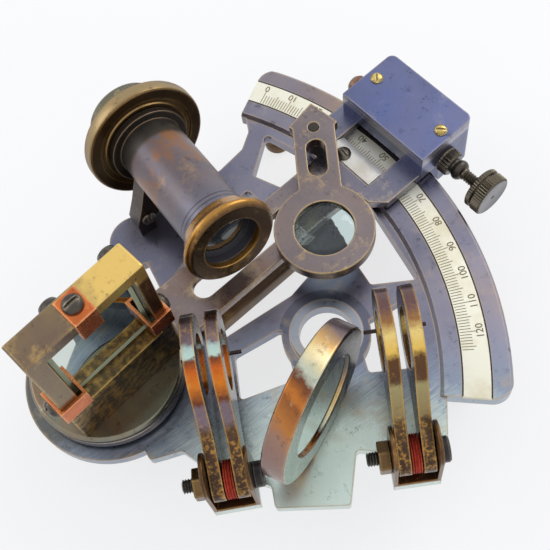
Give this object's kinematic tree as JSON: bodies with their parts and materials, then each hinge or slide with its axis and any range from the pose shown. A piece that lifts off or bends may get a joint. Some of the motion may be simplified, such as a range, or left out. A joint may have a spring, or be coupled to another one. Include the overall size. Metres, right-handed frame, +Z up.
{
  "type": "sextant",
  "caption": "Small brass sextant with a swinging index arm, two mirrors, tilting shades, telescope and reading magnifier.",
  "frame": {"origin": "the pivot axis of the index arm, at the floor under the feet", "axes": "+Z up, +Y towards the middle of the scale, +X towards the shades"},
  "size_m": [0.0988, 0.109, 0.0637],
  "materials": {
    "frame_brass": "antiqued, satin",
    "arm_brass": "antiqued, satin",
    "golden_brass": "polished through the patina",
    "copper": "copper-toned, satin",
    "dark_screw": "darkened",
    "silvered": "silvered, satin",
    "magnifier_brass": "antiqued, semi-polished",
    "tube_brass": "antiqued, semi-polished",
    "shade_brass": "antiqued, polished edges",
    "lens_glass": "clear",
    "dark_glass": "dark tint",
    "mirror_glass": "silvered glass",
    "red_packing": "woven thread"
  },
  "bodies": {
    "frame": {"frame_plate": "frame_brass", "scale_inlay": "silvered", "feet": "frame_brass", "handle_grip": "frame_brass", "handle_posts": "frame_brass", "pivot_stud": "arm_brass", "telescope_tube": "tube_brass", "objective_ring": "tube_brass", "objective_lens": "lens_glass", "telescope_bracket": "frame_brass", "telescope_screw": "dark_screw", "horizon_ring": "golden_brass", "horizon_glass": "mirror_glass", "horizon_screws": "dark_screw", "bracket_screws": "dark_screw", "index_shade_bracket": "arm_brass", "index_shade_bolt": "dark_screw", "index_shade_nut": "arm_brass", "index_shade_packing": "red_packing", "horizon_shade_bracket": "arm_brass", "horizon_shade_bolt": "dark_screw", "horizon_shade_nut": "arm_brass", "horizon_shade_packing": "red_packing"},
    "index_arm": {"index_arm": "arm_brass", "index_disc": "arm_brass", "index_mirror_frame": "golden_brass", "index_mirror_glass": "mirror_glass", "mirror_clip_top": "copper", "mirror_clip_left": "copper", "mirror_clip_right": "copper", "mirror_clip_screws": "dark_screw", "mirror_adjust_screws": "dark_screw", "vernier_plate": "silvered", "vernier_screw": "dark_screw", "clamp_block": "arm_brass", "block_cover": "frame_brass", "cover_screws": "golden_brass", "screw_collar": "arm_brass", "magnifier_post": "arm_brass"},
    "tangent_screw": {"tangent_screw": "arm_brass", "screw_cap": "copper"},
    "magnifier": {"magnifier_arm": "magnifier_brass", "magnifier_lens": "lens_glass"},
    "eyepiece": {"eyepiece_tube": "tube_brass", "eye_ring": "tube_brass", "eye_lens": "lens_glass"},
    "index_shade_1": {"index_shade_1": "shade_brass", "index_shade_1_glass": "dark_glass"},
    "index_shade_2": {"index_shade_2": "shade_brass", "index_shade_2_glass": "dark_glass"},
    "horizon_shade_1": {"horizon_shade_1": "shade_brass", "horizon_shade_1_glass": "dark_glass"},
    "horizon_shade_2": {"horizon_shade_2": "shade_brass", "horizon_shade_2_glass": "dark_glass"}
  },
  "joints": [
    {"name": "arm_swing", "type": "hinge", "parent": "frame", "child": "index_arm", "pos_m": [0, 0, 0.0195], "axis": [0, 0, 1], "range_deg": [-14, 23]},
    {"name": "tangent_turn", "type": "hinge", "parent": "index_arm", "child": "tangent_screw", "pos_m": [-0.01009, 0.08218, 0.021], "axis": [0.9925, 0.1219, 0], "continuous": true},
    {"name": "magnifier_swing", "type": "hinge", "parent": "index_arm", "child": "magnifier", "pos_m": [-0.01685, 0.06342, 0.0263], "axis": [0, 0, 1], "range_deg": [-50, 35]},
    {"name": "eyepiece_focus", "type": "slide", "parent": "frame", "child": "eyepiece", "axis": [-0.9877, 0, -0.1564], "range_m": [0, 0.006]},
    {"name": "index_shade_1_tilt", "type": "hinge", "parent": "frame", "child": "index_shade_1", "pos_m": [0.034, 0.00745, 0.025], "axis": [0.4384, 0.8988, 0], "range_deg": [-8, 77]},
    {"name": "index_shade_2_tilt", "type": "hinge", "parent": "frame", "child": "index_shade_2", "pos_m": [0.034, 0.00745, 0.025], "axis": [0.4384, 0.8988, 0], "range_deg": [-8, 77]},
    {"name": "horizon_shade_1_tilt", "type": "hinge", "parent": "frame", "child": "horizon_shade_1", "pos_m": [0.05025, 0.03775, 0.025], "axis": [0.4695, 0.8829, 0], "range_deg": [-8, 77]},
    {"name": "horizon_shade_2_tilt", "type": "hinge", "parent": "frame", "child": "horizon_shade_2", "pos_m": [0.05025, 0.03775, 0.025], "axis": [0.4695, 0.8829, 0], "range_deg": [-8, 77]}
  ]
}
